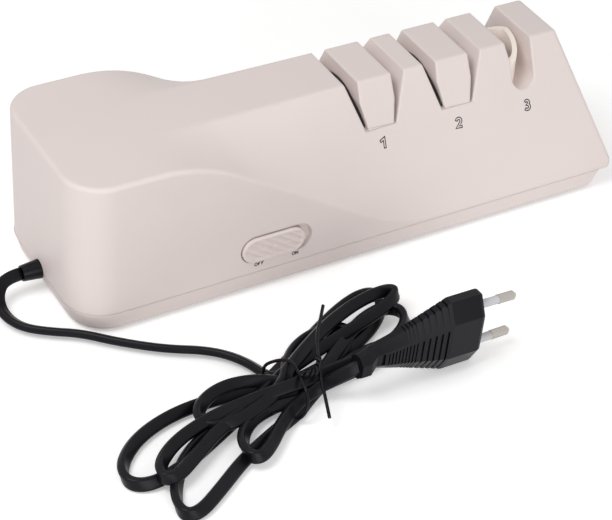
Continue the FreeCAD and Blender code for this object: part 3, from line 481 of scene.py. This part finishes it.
def add_cord():
    route = cord_route()
    line = spline_line(route)
    rolls = cord_rolls(line, len(LEAD) / len(route))
    mesh = sweep("mains_cord", line, rolls, flat_section(CORD_W, CORD_T, CORD_CORNER))
    piece = add_piece("mains_cord", mesh, "cord", "housing")
    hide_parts("cord_lead", "cord_hank", "cord_tail", "cord_inner")


# Twist tie
def round_section(radius, sides=10):
    angles = [2 * math.pi * k / sides for k in range(sides)]
    return [(radius * math.cos(a) * MM, radius * math.sin(a) * MM) for a in angles]


def smooth_line(points, steps=10):
    """Catmull-Rom line through the points, in millimetres."""
    ends = [points[0]] + points + [points[-1]]
    line = []
    for p0, p1, p2, p3 in zip(ends, ends[1:], ends[2:], ends[3:]):
        for k in range(steps):
            t = k / steps
            line.append(0.5 * (2 * p1 + (p2 - p0) * t + (2 * p0 - 5 * p1 + 4 * p2 - p3) * t * t
                               + (3 * p1 - p0 - 3 * p2 + p3) * t ** 3))
    return line + [points[-1]]


TIE_LOOP = [(-67.6, -107.4, 13.6), (-66.9, -103.0, 13.9), (-66.9, -99.2, 13.4), (-68.8, -94.9, 11.6),
            (-73.0, -91.6, 8.5), (-74.6, -91.4, 5.0), (-74.4, -92.8, 1.6), (-74.6, -99.0, 0.9),
            (-74.4, -108.0, 0.9), (-74.2, -116.5, 1.1), (-73.6, -119.8, 3.0), (-71.4, -120.6, 6.4),
            (-69.7, -118.8, 9.6), (-69.0, -115.8, 12.2), (-68.6, -112.2, 13.2), (-67.8, -109.2, 13.4)]
TWIST_AXIS = [(-67.4, -108.3, 13.9), (-64.2, -109.6, 14.4), (-61.2, -109.8, 14.6), (-58.4, -107.0, 14.9),
              (-57.0, -103.2, 15.3)]
TIE_UP_END = [(-54.6, -98.6, 15.8), (-50.6, -91.6, 17.0), (-45.2, -84.4, 17.3), (-41.0, -78.8, 17.6)]
TIE_DOWN_END = [(-58.2, -106.4, 13.4), (-60.2, -111.2, 12.6), (-62.2, -118.4, 10.2), (-65.4, -128.4, 7.2)]
TWIST_TURNS = 3.2
TWIST_REACH = 0.72
TWIST_WAVER = 0.14
WAVER_RATE = 2.3
LOOP_TRIM = 3
LEAST_STEP = 0.0002


def twisted_pair(axis):
    """Two strands wound round an axis, half a turn apart."""
    strands = [[], []]
    for k, here in enumerate(axis):
        ahead = (axis[min(k + 1, len(axis) - 1)] - axis[max(k - 1, 0)]).normalized()
        side = ahead.cross(Vector((0, 0, 1))).normalized()
        lift = side.cross(ahead)
        a = 2 * math.pi * TWIST_TURNS * k / (len(axis) - 1)
        reach = TWIST_REACH + TWIST_WAVER * math.sin(WAVER_RATE * k)
        for strand, turn in zip(strands, (0, math.pi)):
            strand.append(here + (side * math.cos(a + turn) + lift * math.sin(a + turn)) * reach)
    return strands


def without_short_steps(line):
    clean = [line[0]]
    for point in line[1:]:
        if (point - clean[-1]).length > LEAST_STEP:
            clean.append(point)
    return clean


def add_tie():
    """One wire: its upper end, back along the twist, round the hank, and out along the twist again."""
    first, second = twisted_pair(smooth_line([Vector(p) for p in TWIST_AXIS], 8))
    loop = smooth_line([Vector(p) for p in TIE_LOOP])[LOOP_TRIM:-LOOP_TRIM]
    up_end = smooth_line([first[-1]] + [Vector(p) for p in TIE_UP_END])
    down_end = smooth_line([second[-1]] + [Vector(p) for p in TIE_DOWN_END])
    line = without_short_steps([p * MM for p in up_end[::-1] + first[::-1] + loop + second + down_end])
    piece = add_piece("tie_wire", sweep("tie_wire", line, [0.0] * len(line), round_section(TIE_R)), "cord",
                      "housing")
    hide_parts("twist_tie")


# Printed digits and switch labels, and painted shade lines under the guide blocks
DIGIT_HALF = 0.48
DIGIT_INK = 0.21
LETTER_W = 1.5
LETTER_H = 1.65
LETTER_PITCH = 1.04
LETTER_INK = 0.19
LABEL_Z = 13.4
BLOCK_SEAM_SHADE_HALF = 0.09
INK_UNDER = -0.02
INK_OVER = 0.03
SHARPEST_MITRE = 0.45


def crease_z(x):
    """Height of the housing's side crease, as in the part."""
    start, fall, land, foot = -94.3, -59.0, 1.7, 35.4
    slope = (HEIGHT - SHELL_TOP) / ((fall - start) / 2 + (land - fall) + (foot - land) / 2)
    if x <= land:
        return HEIGHT - slope * ((fall - start) / 2 + x - fall)
    return SHELL_TOP + slope * max(0.0, foot - x) ** 2 / (2 * (foot - land))


def slope_point(x, z, lift):
    """Point on the front slope, a lift above its surface."""
    zc = crease_z(x)
    run, rise = (WIDTH - RIDGE_W) / 2, HEIGHT - zc
    size = math.hypot(run, rise)
    y = -WIDTH / 2 + run * (z - zc) / rise
    return mm(x, y - lift * rise / size, z + lift * run / size)


def wall_point(x, z, lift):
    """Point on the front wall, a lift in front of it."""
    return mm(x, -WIDTH / 2 - lift, z)


def sides_of(points, half, closed=False):
    """Lines half a width left and right of a plan line, mitred at its corners."""
    left, right = [], []
    n = len(points)
    points = [Vector(p) for p in points]
    for i, p in enumerate(points):
        into = (p - points[i - 1]).normalized() if closed or i else None
        out = (points[(i + 1) % n] - p).normalized() if closed or i < n - 1 else None
        into, out = into or out, out or into
        across = Vector((-into.y - out.y, into.x + out.x)) / max(1 + into.dot(out), SHARPEST_MITRE)
        left.append(p + across * half)
        right.append(p - across * half)
    return left, right


def stroke(points, half, closed=False):
    """Flat band of quads along a plan line, half wide each side."""
    left, right = sides_of(points, half, closed)
    n = len(points)
    spans = n if closed else n - 1
    return [(left[i], left[(i + 1) % n], right[(i + 1) % n], right[i]) for i in range(spans)]


def arc(cx, cy, rx, ry, a0, a1, steps):
    """Points on an ellipse from one angle, in degrees, to another."""
    return [(cx + rx * math.cos(math.radians(a0 + (a1 - a0) * k / steps)),
             cy + ry * math.sin(math.radians(a0 + (a1 - a0) * k / steps))) for k in range(steps + 1)]


def band_outline(points, half):
    """Closed outline of a stroke of the given half width."""
    left, right = sides_of(points, half)
    return left + right[::-1]


DIGITS = {
    "1": [(-0.1, 0.80), (1.0, 1.0), (1.0, 0.0)],
    "2": arc(0.46, 0.70, 0.44, 0.30, 165, -30, 10) + [(0.12, 0.02), (1.0, 0.02)],
    "3": arc(0.42, 0.76, 0.42, 0.24, 150, -70, 9) + arc(0.42, 0.27, 0.56, 0.27, 62, -150, 10),
}
# Each letter is a list of strokes in a square of one unit, as the digits are one stroke each
LETTERS = {
    "O": [arc(0.5, 0.5, 0.40, 0.44, 0, 342, 19)],
    "F": [[(0.2, 0.0), (0.2, 1.0)], [(0.2, 0.92), (0.84, 0.92)], [(0.2, 0.46), (0.62, 0.46)]],
    "N": [[(0.16, 0.0), (0.16, 1.0)], [(0.16, 0.98), (0.84, 0.02)], [(0.84, 0.0), (0.84, 1.0)]],
}


def print_mesh(name, quads, place):
    """Thin ink layer: the flat quads are laid on the surface by place(x, z, lift)."""
    mesh = bmesh.new()
    for quad in quads:
        under = [mesh.verts.new(place(q.x, q.y, INK_UNDER)) for q in quad]
        over = [mesh.verts.new(place(q.x, q.y, INK_OVER)) for q in quad]
        mesh.faces.new(under[::-1])
        mesh.faces.new(over)
        for k in range(4):
            mesh.faces.new((under[k], under[(k + 1) % 4], over[(k + 1) % 4], over[k]))
    bmesh.ops.recalc_face_normals(mesh, faces=mesh.faces)
    data = bpy.data.meshes.new(name)
    mesh.to_mesh(data)
    mesh.free()
    return data


def add_digit(digit, x0, z0, width, height):
    spine = [Vector((x0 + u * width, z0 + v * height)) for u, v in DIGITS[digit]]
    quads = stroke(band_outline(spine, DIGIT_HALF), DIGIT_INK, closed=True)
    name = "digit_" + digit
    add_piece(name, print_mesh(name, quads, slope_point), "print", "housing")


def add_label(word, left):
    name = "label_" + word.lower()
    quads = []
    for k, letter in enumerate(word):
        for line in LETTERS[letter]:
            points = [(left + (k * LETTER_PITCH + u) * LETTER_W, LABEL_Z + v * LETTER_H) for u, v in line]
            quads += stroke(points, LETTER_INK, closed=letter == "O")
    add_piece(name, print_mesh(name, quads, wall_point), "print", "housing")


# Lower left corner of each digit on the front slope, its width and its height
DIGIT_PLACES = {"1": (15.1, 44.7, 1.8, 3.75), "2": (53.1, 44.25, 2.7, 3.6), "3": (88.75, 43.7, 2.2, 3.7)}
# Left end of each label on the wall
LABEL_PLACES = {"OFF": -51.5, "ON": -33.8}
# Both ends of the fine line of painted shade under each guide block
BLOCK_SEAM_SHADES = {"block_seam_shade_1": ((9.8, 54.1), (22.9, 53.25)), "block_seam_shade_2": ((47.9, 53.6), (61.4, 52.9))}


def add_prints():
    for digit, place in DIGIT_PLACES.items():
        add_digit(digit, *place)
    for word, left in LABEL_PLACES.items():
        add_label(word, left)
    for name, ends in BLOCK_SEAM_SHADES.items():
        # A thin strip of painted shade where each guide block meets the housing
        mesh = print_mesh(name, stroke(ends, BLOCK_SEAM_SHADE_HALF), slope_point)
        add_piece(name, mesh, "seam", "housing")


# Switch slider, with soft diagonal ribs
KNOB_X0 = -57.6
KNOB_L = 29.2
KNOB_H = 12.2
KNOB_Z = 22.1
KNOB_FRONT = WIDTH / 2 + 1.3
KNOB_BACK = WIDTH / 2 - 2.0
RIB_LEAN = math.radians(36)
RIB_PITCH = 2.9
RIB_DEPTH = 0.95
RIB_START = -16.4
RIB_MARGIN = 1.1
RIB_FADE = 0.9
# Distance inside the slider's edge and height over its face, from its back to the flat of its face
KNOB_EDGE = [(0.0, KNOB_BACK - KNOB_FRONT), (0.0, -0.9), (0.1, -0.5), (0.3, -0.22), (0.6, -0.06), (0.9, 0.0)]
FACE_START = 0.9
FACE_STEP = 0.24
FACE_RINGS = 20


def stadium(inset, turns=26, runs=38):
    """Points round the slider's face, a given distance inside its edge."""
    r = KNOB_H / 2 - inset
    reach = (KNOB_L - KNOB_H) / 2
    middle = KNOB_X0 + KNOB_L / 2
    points = []
    for side in (1, -1):
        for k in range(turns + 1):
            a = math.pi * k / turns - math.pi / 2
            points.append((middle + side * (reach + r * math.cos(a)), KNOB_Z + side * r * math.sin(a)))
        for k in range(1, runs):
            points.append((middle + side * reach * (1 - 2 * k / runs), KNOB_Z + side * r))
    return points


def rib_height(x, z, inset):
    """Depth of the soft ribs, which fade out towards the slider's edge."""
    across = x * math.sin(RIB_LEAN) + z * math.cos(RIB_LEAN) - RIB_START
    share = min(1.0, max(0.0, (inset - RIB_MARGIN) / RIB_FADE))
    return -RIB_DEPTH * share * (0.5 - 0.5 * math.cos(2 * math.pi * across / RIB_PITCH))


def add_slider():
    face = [(FACE_START + FACE_STEP * k, 0.0) for k in range(1, FACE_RINGS + 1)]
    mesh = bmesh.new()
    rings = []
    for inset, lift in KNOB_EDGE + face:
        rings.append([mesh.verts.new(mm(x, -(KNOB_FRONT + lift + rib_height(x, z, inset)), z))
                      for x, z in stadium(inset)])
    n = len(rings[0])
    for outer, inner in zip(rings, rings[1:]):
        for k in range(n):
            mesh.faces.new((outer[k], outer[(k + 1) % n], inner[(k + 1) % n], inner[k])).smooth = True
    mesh.faces.new(rings[0][::-1])
    mesh.faces.new(rings[-1])
    bmesh.ops.recalc_face_normals(mesh, faces=mesh.faces)
    data = bpy.data.meshes.new("slider_knob")
    mesh.to_mesh(data)
    mesh.free()
    knob = add_piece("slider_knob", data, "switch", "switch")
    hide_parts("switch_slider")


add_studio()
add_floor()
add_camera()
make_materials()
add_tie()
add_cord()
add_slider()
add_prints()
